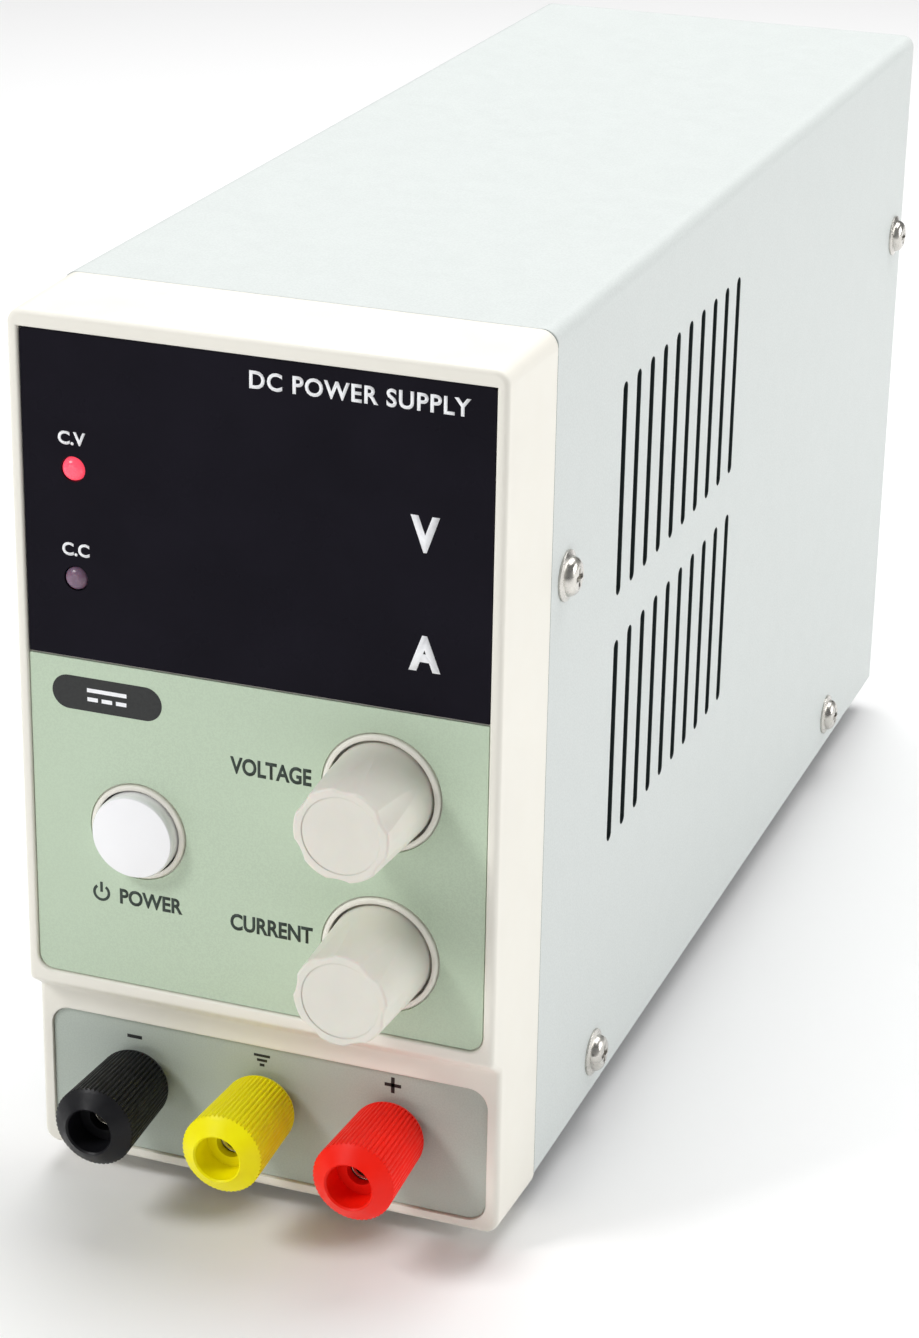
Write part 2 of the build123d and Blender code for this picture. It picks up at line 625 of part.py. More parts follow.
with BuildPart() as post_washers:
    with BuildSketch(facing(LABEL_Y)):
        with Locations(*POST_PLACES):
            Circle(WASHER_R)
            Circle(STUD_R, mode=Mode.SUBTRACT)
    extrude(amount=WASHER_T)
save(post_washers, "post_washers")

with BuildPart() as post_nuts:
    for nut_y, thickness in ((POST_INNER_Y, NUT_T), (LUG_BACK_Y, NUT_T)):
        with BuildSketch(facing(nut_y)):
            with Locations(*POST_PLACES):
                RegularPolygon(4.5, 6, major_radius=False)
                Circle(STUD_R, mode=Mode.SUBTRACT)
        extrude(amount=-thickness)
save(post_nuts, "post_nuts")

with BuildPart() as solder_lugs:
    with BuildSketch(facing(POST_INNER_Y + NUT_T)):
        with Locations(*POST_PLACES):
            Circle(4.4)
        with Locations(*[(x, z + 7.0) for x, z in POST_PLACES]):
            Rectangle(4.0, 12.0)
        with Locations(*POST_PLACES):
            Circle(STUD_R, mode=Mode.SUBTRACT)
    extrude(amount=-LUG_T)
save(solder_lugs, "solder_lugs")


def make_insert(x, z):
    """The threaded brass bush that carries a cap along its stud."""
    with BuildPart() as insert:
        with BuildSketch(facing(INSERT_Y[1])):
            with Locations((x, z)):
                Circle(INSERT_R)
                Circle(STUD_R + 0.06, mode=Mode.SUBTRACT)
        extrude(amount=INSERT_Y[1] - INSERT_Y[0])
    return insert


def make_cap(x, z):
    """A knurled cap: rounded at the panel, wider and coned at its front, bored for stud and plug."""
    with BuildPart() as cap:
        with BuildSketch(Plane(origin=(x, 0, z), x_dir=(1, 0, 0), z_dir=(0, 0, 1))):
            with BuildLine():
                ThreePointArc((CAP_REAR_R - 2.4, CAP_BACK_Y), (CAP_REAR_R - 0.7, CAP_BACK_Y - 1.0),
                              (CAP_REAR_R, KNURL_Y[1]))
                Polyline(
                    (CAP_REAR_R, KNURL_Y[1]),
                    (CAP_R, KNURL_Y[0]),
                    (CAP_R - 0.6, CAP_FRONT_Y + 1.7),
                    (CAP_MOUTH_R + 0.3, CAP_FRONT_Y),
                    (CAP_MOUTH_R, CAP_FRONT_Y + 0.3),
                    (CAP_MOUTH_R, CAP_FRONT_Y + CAP_MOUTH_DEPTH),
                    (CAP_PLUG_R, CAP_FRONT_Y + CAP_MOUTH_DEPTH),
                    (CAP_PLUG_R, STUD_FRONT_Y - 0.4),
                    (STUD_BORE_R, STUD_FRONT_Y - 0.4),
                    (STUD_BORE_R, INSERT_Y[0] - 0.05),
                    (INSERT_R + 0.06, INSERT_Y[0] - 0.05),
                    (INSERT_R + 0.06, INSERT_Y[1] + 0.05),
                    (STUD_BORE_R, INSERT_Y[1] + 0.05),
                    (STUD_BORE_R, CAP_BACK_Y),
                    (CAP_REAR_R - 2.4, CAP_BACK_Y),
                )
            make_face()
        revolve(axis=Axis((x, 0, z), (0, 1, 0)))
        knurl_middle = Plane(origin=(x, sum(KNURL_Y) / 2, z), x_dir=(1, 0, 0), z_dir=(0, -1, 0))
        with Locations(knurl_middle):
            with PolarLocations((CAP_R + CAP_REAR_R) / 2 + 0.08, KNURLS):
                Box(KNURL_W, KNURL_W, KNURL_Y[1] - KNURL_Y[0] + 2.0,
                    rotation=(0, KNURL_TILT, 45), mode=Mode.SUBTRACT)
    return cap


for name, (post_x, post_z) in zip(("black", "yellow", "red"), POST_PLACES):
    save(make_cap(post_x, post_z), f"{name}_post_cap")
    save(make_insert(post_x, post_z), f"{name}_post_insert")


# ---------------------------------------------------------------- fan
FAN_DEPTH = 15.0
FAN_Y = (REAR_INNER_Y - FAN_DEPTH, REAR_INNER_Y)
FAN_BORE_R = 28.5
HUB_R = 12.0
BLADES = 7
MOTOR_R = 11.0
MOTOR_T = 3.0

with BuildPart() as fan_frame:
    with BuildSketch(facing(FAN_Y[0])):
        with Locations(FAN_PLACE):
            RectangleRounded(FAN_SIZE, FAN_SIZE, 4.0)
            Circle(FAN_BORE_R, mode=Mode.SUBTRACT)
            with GridLocations(FAN_HOLES, FAN_HOLES, 2, 2):
                Circle(2.0, mode=Mode.SUBTRACT)
    extrude(amount=-FAN_DEPTH)
    with BuildSketch(facing(FAN_Y[0])):
        with Locations(FAN_PLACE):
            Circle(MOTOR_R)
            with PolarLocations((MOTOR_R + FAN_BORE_R) / 2, 3, start_angle=90):
                Rectangle(FAN_BORE_R - MOTOR_R + 2.0, 3.0)
            Circle(1.6, mode=Mode.SUBTRACT)
    extrude(amount=-MOTOR_T)
save(fan_frame, "fan_frame")

with BuildPart() as fan_rotor:
    with BuildSketch(facing(FAN_Y[0] + MOTOR_T + 0.6)):
        with Locations(FAN_PLACE):
            Circle(HUB_R)
    extrude(amount=-(FAN_DEPTH - MOTOR_T - 1.6))
    fillet(fan_rotor.faces().sort_by(Axis.Y)[-1].edges(), 1.0)
    with BuildSketch(facing(FAN_Y[0] + MOTOR_T + 0.6)):
        with Locations(FAN_PLACE):
            Circle(1.5)
    extrude(amount=MOTOR_T)
    blade_span = FAN_BORE_R - 0.9 - HUB_R
    fan_centre = Plane(
        origin=(FAN_PLACE[0], FAN_Y[0] + MOTOR_T + 5.6, FAN_PLACE[1]), x_dir=(1, 0, 0), z_dir=(0, 1, 0)
    )
    with Locations(fan_centre):
        with PolarLocations(0, BLADES):
            with Locations(Pos(HUB_R + blade_span / 2 - 0.75, 0, 0) * Rot(38, 0, 0)):
                Box(blade_span + 1.5, 13.0, 1.2)
    with BuildSketch(facing(FAN_Y[0])):
        with Locations(FAN_PLACE):
            Circle(FAN_BORE_R + 10)
            Circle(FAN_BORE_R - 0.8, mode=Mode.SUBTRACT)
    extrude(amount=-FAN_DEPTH, mode=Mode.SUBTRACT)
save(fan_rotor, "fan_rotor")

GUARD_WIRE_R = 0.8
GUARD_RINGS = (8.0, 15.0, 22.0, 28.0)

with BuildPart() as fan_guard:
    strut_y = REAR_FACE_Y + GUARD_WIRE_R
    ring_y = strut_y + GUARD_WIRE_R * 0.6
    guard_centre = Plane(
        origin=(FAN_PLACE[0], strut_y, FAN_PLACE[1]), x_dir=(1, 0, 0), z_dir=(0, 1, 0)
    )
    ear_reach = FAN_HOLES / math.sqrt(2)
    with Locations(guard_centre):
        with PolarLocations(0, 4, start_angle=45):
            with Locations(Pos((8.0 + ear_reach - 2.6) / 2, 0, 0) * Rot(0, 90, 0)):
                Cylinder(GUARD_WIRE_R, ear_reach - 2.6 - 8.0)
            with Locations(Pos(ear_reach, 0, 0)):
                Torus(2.9, GUARD_WIRE_R)
    ring_centre = Plane(
        origin=(FAN_PLACE[0], ring_y, FAN_PLACE[1]), x_dir=(1, 0, 0), z_dir=(0, 1, 0)
    )
    with Locations(ring_centre):
        for ring_r in GUARD_RINGS:
            Torus(ring_r, GUARD_WIRE_R)
save(fan_guard, "fan_guard")

fan_screw = pan_screw(FAN_SCREW_R, 14.0, 3.5, 2.2)
fan_screw_places = [
    (FAN_PLACE[0] + i * FAN_HOLES / 2, FAN_PLACE[1] + k * FAN_HOLES / 2) for i in (-1, 1) for k in (-1, 1)
]
save(group([at_rear(x, REAR_FACE_Y + 2 * GUARD_WIRE_R, z) * fan_screw for x, z in fan_screw_places]),
     "fan_screws")

# ---------------------------------------------------------------- mains inlet with a fuse drawer
INLET_FLANGE = (34.0, 38.0)
INLET_FLANGE_T = 2.4
INLET_DEPTH = 24.0
SOCKET = (24.4, 16.8)
SOCKET_LIFT = 5.5
SOCKET_HOLE_DEPTH = 17.0
PIN = (2.0, 4.0)
PIN_X = 7.0
DRAWER = (22.0, 7.0)
DRAWER_DROP = -11.0
DRAWER_DEPTH = 20.0
DRAWER_TRAVEL = 18.0
inlet_x, inlet_z = INLET_PLACE
socket_z = inlet_z + SOCKET_LIFT
drawer_z = inlet_z + DRAWER_DROP
inlet_face_y = REAR_FACE_Y + INLET_FLANGE_T
socket_floor_y = inlet_face_y - SOCKET_HOLE_DEPTH
PIN_PLACES = [(inlet_x - PIN_X, socket_z - 2.0), (inlet_x + PIN_X, socket_z - 2.0), (inlet_x, socket_z + 2.0)]

with BuildPart() as mains_inlet:
    with BuildSketch(facing(REAR_FACE_Y)):
        with Locations(INLET_PLACE):
            RectangleRounded(*INLET_FLANGE, 2.0)
    extrude(amount=-INLET_FLANGE_T)
    with BuildSketch(facing(REAR_FACE_Y)):
        with Locations(INLET_PLACE):
            Rectangle(INLET_CUT[0] - 0.2, INLET_CUT[1] - 0.2)
    extrude(amount=INLET_DEPTH)
    # the socket well, with its two upper corners cut off
    with BuildSketch(facing(inlet_face_y)) as well:
        with Locations((inlet_x, socket_z)):
            Rectangle(*SOCKET)
        chamfer(well.vertices().group_by(Axis.Y)[-1], 4.5)
    extrude(amount=SOCKET_HOLE_DEPTH, mode=Mode.SUBTRACT)
    with BuildSketch(facing(inlet_face_y)):
        with Locations((inlet_x, drawer_z)):
            Rectangle(DRAWER[0] + 0.6, DRAWER[1] + 0.6)
    extrude(amount=DRAWER_DEPTH + 0.6, mode=Mode.SUBTRACT)
    with BuildSketch(facing(inlet_face_y)):
        with Locations(*PIN_PLACES):
            Rectangle(*PIN)
    extrude(amount=INLET_DEPTH + 5, mode=Mode.SUBTRACT)
save(mains_inlet, "mains_inlet")

with BuildPart() as inlet_pins:
    with BuildSketch(facing(socket_floor_y + 14.0)):
        with Locations(*PIN_PLACES):
            Rectangle(*PIN)
    extrude(amount=14.0 + 7.0 + 8.0)
    chamfer(inlet_pins.faces().filter_by(Axis.Y).group_by(Axis.Y)[-1].edges(), 0.5)
save(inlet_pins, "inlet_pins")

FUSE_R = 2.5
FUSE_SPAN = 20.0
fuse_y = inlet_face_y - 12.0

with BuildPart() as fuse_drawer:
    with BuildSketch(facing(inlet_face_y)):
        with Locations((inlet_x, drawer_z)):
            Rectangle(*DRAWER)
    extrude(amount=DRAWER_DEPTH)
    with BuildSketch(facing(inlet_face_y + 0.8)):
        with Locations((inlet_x, drawer_z)):
            Rectangle(DRAWER[0] - 10, 2.0)
    extrude(amount=0.8)
    with BuildSketch(level(drawer_z + DRAWER[1] / 2)):
        with Locations((inlet_x, fuse_y)):
            Rectangle(FUSE_SPAN + 0.4, 2 * FUSE_R + 0.4)
    extrude(amount=-(DRAWER[1] - 1.0), mode=Mode.SUBTRACT)
save(fuse_drawer, "fuse_drawer")

with BuildPart() as fuse:
    with BuildSketch(Plane.YZ.offset(inlet_x - FUSE_SPAN / 2)):
        with Locations((fuse_y, drawer_z - DRAWER[1] / 2 + 1.1 + FUSE_R)):
            Circle(FUSE_R)
    extrude(amount=FUSE_SPAN)
save(fuse, "fuse")

# ---------------------------------------------------------------- mains voltage selector
SLIDER = (5.0, 6.0)
SLIDER_TRAVEL = 5.0
selector_x, selector_z = SELECTOR_PLACE
slider_z = selector_z - SLIDER_TRAVEL / 2

with BuildPart() as voltage_selector:
    with BuildSketch(facing(REAR_FACE_Y)):
        with Locations(SELECTOR_PLACE):
            RectangleRounded(14.0, 30.0, 1.5)
    extrude(amount=-1.2)
    with BuildSketch(facing(REAR_FACE_Y)):
        with Locations(SELECTOR_PLACE):
            Rectangle(SELECTOR_CUT[0] - 0.2, SELECTOR_CUT[1] - 0.2)
    extrude(amount=10.0)
    with BuildSketch(facing(REAR_FACE_Y + 1.2)):
        with Locations(SELECTOR_PLACE):
            Rectangle(SLIDER[0] + 0.6, SLIDER[1] + SLIDER_TRAVEL + 0.6)
    extrude(amount=5.2, mode=Mode.SUBTRACT)
save(voltage_selector, "voltage_selector")

with BuildPart() as selector_slider:
    with BuildSketch(facing(REAR_FACE_Y + 0.7)):
        with Locations((selector_x, slider_z)):
            Rectangle(*SLIDER)
    extrude(amount=4.4)
    with BuildSketch(facing(REAR_FACE_Y + 1.7)):
        with Locations((selector_x, slider_z)):
            Rectangle(SLIDER[0], 1.6)
    extrude(amount=1.5)
save(selector_slider, "selector_slider")

# ---------------------------------------------------------------- main board and what stands on it
BOARD_W = 74.0
STANDOFF_H = 6.0
BOARD_Z = FLOOR_Z + STANDOFF_H
TOP_OF_BOARD = BOARD_Z + BOARD_T
FLAT_TOP = level(TOP_OF_BOARD)

with BuildPart() as pcb_standoffs:
    with BuildSketch(level(FLOOR_Z)):
        with Locations(*STANDOFF_PLACES):
            RegularPolygon(2.9, 6, major_radius=False)
            Circle(1.5, mode=Mode.SUBTRACT)
    extrude(amount=STANDOFF_H)
save(pcb_standoffs, "pcb_standoffs")

with BuildPart() as main_board:
    with BuildSketch(level(BOARD_Z)):
        with Locations((0, sum(PCB_Y) / 2)):
            Rectangle(BOARD_W, PCB_Y[1] - PCB_Y[0])
        with Locations(*STANDOFF_PLACES):
            Circle(1.6, mode=Mode.SUBTRACT)
    extrude(amount=BOARD_T)
save(main_board, "main_board")

board_screw = pan_screw(1.5, 4.5, 2.8, 1.8)
chassis_screw = pan_screw(1.5, 4.0, 2.8, 1.8)
upward_screws = [Plane(origin=(x, y, TOP_OF_BOARD), x_dir=(1, 0, 0), z_dir=(0, 0, 1)) * board_screw
                 for x, y in STANDOFF_PLACES]
under_screws = [Plane(origin=(x, y, COVER_Z), x_dir=(1, 0, 0), z_dir=(0, 0, -1)) * chassis_screw
                for x, y in STANDOFF_PLACES]
save(group(upward_screws + under_screws), "pcb_screws")

CORE = (42.0, 14.0, 36.0)
CORE_WINDOW = (9.0, 24.0)
CENTRE_LEG = 16.0
TRANSFORMER_Y = FACE_Y + 128.0

with BuildPart() as transformer_core:
    with BuildSketch(facing(TRANSFORMER_Y - CORE[1] / 2)):
        with Locations((0, TOP_OF_BOARD + CORE[2] / 2)):
            Rectangle(CORE[0], CORE[2])
            with GridLocations(CENTRE_LEG + CORE_WINDOW[0], 0, 2, 1):
                Rectangle(*CORE_WINDOW, mode=Mode.SUBTRACT)
    extrude(amount=-CORE[1])
save(transformer_core, "transformer_core")

with BuildPart() as transformer_winding:
    yoke = (CORE[2] - CORE_WINDOW[1]) / 2
    with BuildSketch(level(TOP_OF_BOARD + yoke + 0.2)):
        with Locations((0, TRANSFORMER_Y)):
            RectangleRounded(CENTRE_LEG + 2 * CORE_WINDOW[0] - 0.4, 31.0, 6.0)
            Rectangle(CENTRE_LEG + 0.4, CORE[1] + 0.4, mode=Mode.SUBTRACT)
    extrude(amount=CORE_WINDOW[1] - 0.4)
    # rows of bobbin feet on both sides of the core
    with BuildSketch(FLAT_TOP):
        with Locations((0, TRANSFORMER_Y)):
            with GridLocations(0, 23.0, 1, 2):
                Rectangle(24.0, 4.0)
    extrude(amount=yoke + 0.3)
save(transformer_winding, "transformer_winding")

# ---------------------------------------------------------------- heatsinks and power semiconductors
SINK_Y = (FACE_Y + 66.0, FACE_Y + 143.0)
SINK_X = (22.0, 35.0)
SINK_BASE = 3.0
SINK_H = 74.0
FIN_T = 1.5
FIN_PITCH = 8.0
FIN_COUNT = 9
TRANSISTOR_YS = (FACE_Y + 78.0, FACE_Y + 98.0)
TRANSISTOR = (4.5, 10.0, 15.0)


def make_heatsink(side):
    """A comb of fins on a plate; the plate faces the middle of the case."""
    plate_x = side * (SINK_X[0] + SINK_BASE / 2)
    fin_x = side * (SINK_X[0] + SINK_X[1]) / 2
    with BuildPart() as sink:
        with BuildSketch(facing(SINK_Y[0])):
            with Locations((plate_x, TOP_OF_BOARD + SINK_H / 2)):
                Rectangle(SINK_BASE, SINK_H)
            for i in range(FIN_COUNT):
                with Locations((fin_x, TOP_OF_BOARD + 6.0 + i * FIN_PITCH)):
                    Rectangle(SINK_X[1] - SINK_X[0], FIN_T)
        extrude(amount=-(SINK_Y[1] - SINK_Y[0]))
    return sink


def make_transistors(side):
    """Two moulded power devices flat against a heatsink plate, on three legs each."""
    body_x = side * (SINK_X[0] - TRANSISTOR[0] / 2)
    with BuildPart() as devices:
        with BuildSketch(level(TOP_OF_BOARD + 12.0)):
            with Locations(*[(body_x, y) for y in TRANSISTOR_YS]):
                Rectangle(TRANSISTOR[0], TRANSISTOR[1])
        extrude(amount=TRANSISTOR[2])
        with BuildSketch(FLAT_TOP):
            with Locations(*[(body_x, y) for y in TRANSISTOR_YS]):
                with GridLocations(0, 2.54, 1, 3):
                    Rectangle(0.6, 0.8)
        extrude(amount=12.0)
    return devices


save(make_heatsink(-1), "primary_heatsink")
save(make_heatsink(1), "output_heatsink")
save(make_transistors(-1), "switching_transistors")
save(make_transistors(1), "output_rectifiers")

with BuildPart() as bridge_rectifier:
    with BuildSketch(level(TOP_OF_BOARD + 4.0)):
        with Locations((27.0, FACE_Y + 188.0)):
            Rectangle(4.0, 22.0)
    extrude(amount=18.0)
    with BuildSketch(FLAT_TOP):
        with Locations((27.0, FACE_Y + 188.0)):
            with GridLocations(0, 5.0, 1, 4):
                Rectangle(0.8, 1.2)
    extrude(amount=4.0)
save(bridge_rectifier, "bridge_rectifier")


# ---------------------------------------------------------------- capacitors and wound parts
def make_capacitors(places, radius, height):
    """Upright cans with a rolled groove near the foot."""
    with BuildPart() as cans:
        with BuildSketch(FLAT_TOP):
            with Locations(*places):
                Circle(radius)
        extrude(amount=height)
        fillet(cans.faces().filter_by(Axis.Z).group_by(Axis.Z)[-1].edges(), 0.8)
        with BuildSketch(level(TOP_OF_BOARD + 2.5)):
            with Locations(*places):
                Circle(radius + 1)
                Circle(radius - 0.6, mode=Mode.SUBTRACT)
        extrude(amount=0.9, mode=Mode.SUBTRACT)
    return cans


save(make_capacitors([(-15.0, FACE_Y + 160.0), (15.0, FACE_Y + 160.0)], 12.5, 40.0), "bulk_capacitors")
save(make_capacitors([(x, FACE_Y + 53.0) for x in (-20.0, 0.0, 20.0)], 8.0, 25.0), "output_capacitors")

with BuildPart() as output_inductor:
    with Locations((0, FACE_Y + 88.0, TOP_OF_BOARD + 5.0)):
        Torus(10.5, 5.0)
save(output_inductor, "output_inductor")

with BuildPart() as line_filter_choke:
    with Locations((-10.0, FACE_Y + 189.0, TOP_OF_BOARD + 4.5)):
        Torus(8.5, 4.5)
save(line_filter_choke, "line_filter_choke")

# ---------------------------------------------------------------- leads
OUTPUT_WIRE_R = 1.2
MAINS_WIRE_R = 0.9
lead_y = LUG_BACK_Y + OUTPUT_WIRE_R
lead_top = BASE_Z + 34.0


def lead(route, bend_r, wire_r):
    """A round wire along straight runs joined by arcs."""
    with BuildPart() as wire:
        with BuildLine() as path:
            FilletPolyline(*route, radius=bend_r)
        with BuildSketch(path.line ^ 0):
            Circle(wire_r)
        sweep()
    return wire.part


output_routes = [
    [(x, lead_y, z + 8.5), (x, lead_y, lead_top), (x * 0.6, FACE_Y + 41.0, lead_top),
     (x * 0.6, FACE_Y + 41.0, TOP_OF_BOARD)]
    for x, z in POST_PLACES
]
save(group([lead(route, 6.0, OUTPUT_WIRE_R) for route in output_routes]), "output_leads")

pin_end_y = socket_floor_y + 14.0 - 29.0
mains_routes = [
    [(x, pin_end_y, z), (x, FACE_Y + 208.0, z), (x, FACE_Y + 208.0, TOP_OF_BOARD)] for x, z in PIN_PLACES
]
save(group([lead(route, 8.0, MAINS_WIRE_R) for route in mains_routes]), "mains_leads")
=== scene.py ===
"""Bench power supply: finishes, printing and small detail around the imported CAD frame.

Metres, +Z up, the front faces -Y. Places come from the frame's own boxes.
"""
import json
import math

import bpy
import bmesh
from mathutils import Matrix, Vector


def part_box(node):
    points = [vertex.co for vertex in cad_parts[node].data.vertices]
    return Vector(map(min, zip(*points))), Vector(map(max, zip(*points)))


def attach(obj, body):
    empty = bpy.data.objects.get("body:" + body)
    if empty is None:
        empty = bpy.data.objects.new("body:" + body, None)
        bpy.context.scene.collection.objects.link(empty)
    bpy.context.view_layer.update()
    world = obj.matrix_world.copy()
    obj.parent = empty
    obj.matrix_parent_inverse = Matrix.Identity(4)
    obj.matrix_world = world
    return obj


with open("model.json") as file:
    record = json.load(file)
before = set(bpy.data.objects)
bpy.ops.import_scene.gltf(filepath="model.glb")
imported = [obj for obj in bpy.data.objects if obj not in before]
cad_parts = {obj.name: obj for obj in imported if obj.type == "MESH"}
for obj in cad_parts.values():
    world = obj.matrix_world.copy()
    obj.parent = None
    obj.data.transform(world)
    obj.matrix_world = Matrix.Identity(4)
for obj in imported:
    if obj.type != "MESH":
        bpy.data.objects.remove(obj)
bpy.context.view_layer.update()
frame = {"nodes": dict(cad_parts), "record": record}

MM = 0.001
BODY = "instrument"
FACE_DRAFT = 0.5 * MM                # the bezel's face is this much inside its box


def low_corner(node):
    """The corner of a CAD node's box with the smallest x, y and z."""
    return Vector(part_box(node)[0])


def high_corner(node):
    """The corner of a CAD node's box with the largest x, y and z."""
    return Vector(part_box(node)[1])


FACE_Y = low_corner("front_bezel").y
BASE_Z = low_corner("front_bezel").z + FACE_DRAFT
COVER_TOP_Z = high_corner("top_cover").z
TOP_BEND = 4 * MM
INK_T = 0.03 * MM


# ------------------------------------------------------------------ camera, floor and light
def add_camera():
    """A long lens to the right of and above the front, level with the middle of the case."""
    azimuth, elevation, roll = (math.radians(a) for a in (19.960, 22.651, 1.082))
    distance = 0.63765
    target = Vector((-0.00095, FACE_Y + 0.100, BASE_Z + 0.06002))
    back = Vector((
        math.sin(azimuth) * math.cos(elevation),
        -math.cos(azimuth) * math.cos(elevation),
        math.sin(elevation),
    ))
    right = Vector((math.cos(azimuth), math.sin(azimuth), 0.0))
    up = back.cross(right)
    turned_right = math.cos(roll) * right + math.sin(roll) * up
    turned_up = -math.sin(roll) * right + math.cos(roll) * up
    data = bpy.data.cameras.new("camera")
    data.sensor_width = 36.0
    data.lens = 89.55
    data.clip_start = 0.01
    camera = bpy.data.objects.new("camera", data)
    camera.matrix_world = Matrix.Translation(target + back * distance) @ Matrix((
        turned_right, turned_up, back)).transposed().to_4x4()
    bpy.context.collection.objects.link(camera)
    bpy.context.scene.camera = camera


def add_floor(material):
    """A wide plain floor at the height of the feet."""
    mesh = bpy.data.meshes.new("floor")
    shape = bmesh.new()
    bmesh.ops.create_grid(shape, x_segments=1, y_segments=1, size=6.0)
    shape.to_mesh(mesh)
    shape.free()
    floor = bpy.data.objects.new("floor", mesh)
    bpy.context.collection.objects.link(floor)
    floor.data.materials.append(material)


def add_softbox(name, place, aim, size, power):
    """A rectangular area light at a place, aimed at a point."""
    data = bpy.data.lights.new(name, "AREA")
    data.shape = "RECTANGLE"
    data.size, data.size_y = size
    data.energy = power
    light = bpy.data.objects.new(name, data)
    light.location = place
    light.rotation_euler = (Vector(aim) - Vector(place)).to_track_quat("-Z", "Y").to_euler()
    bpy.context.collection.objects.link(light)


def add_studio():
    """A white surround, a key light above, and smaller lights at the left, low in front and at the right."""
    world = bpy.data.worlds.new("studio")
    world.use_nodes = True
    sky = world.node_tree.nodes["Background"]
    sky.inputs["Color"].default_value = (1.0, 1.0, 1.0, 1.0)
    sky.inputs["Strength"].default_value = 0.2
    bpy.context.scene.world = world
    middle = (0.0, 0.0, 0.08)
    add_softbox("key_light", (0.0, 0.45, 1.3), middle, (1.2, 1.0), 17.5)
    add_softbox("left_light", (-0.7, -0.8, 1.0), middle, (0.35, 0.35), 8.5)
    add_softbox("low_light", (-0.5, -1.5, 0.25), middle, (0.8, 0.3), 2.6)
    add_softbox("right_light", (1.4, 0.45, 0.6), middle, (0.9, 0.8), 10.5)
    bpy.context.scene.view_settings.view_transform = "Standard"


# ------------------------------------------------------------------ material helpers
def srgb(red, green, blue):
    """Linear colour of an sRGB colour given in 0 to 255."""
    def linear(value):
        value /= 255.0
        if value <= 0.04045:
            return value / 12.92
        return ((value + 0.055) / 1.055) ** 2.4
    return (linear(red), linear(green), linear(blue), 1.0)


def shade(color, factor):
    """A colour made lighter or darker by a factor."""
    return tuple(min(1.0, channel * factor) for channel in color[:3]) + (1.0,)


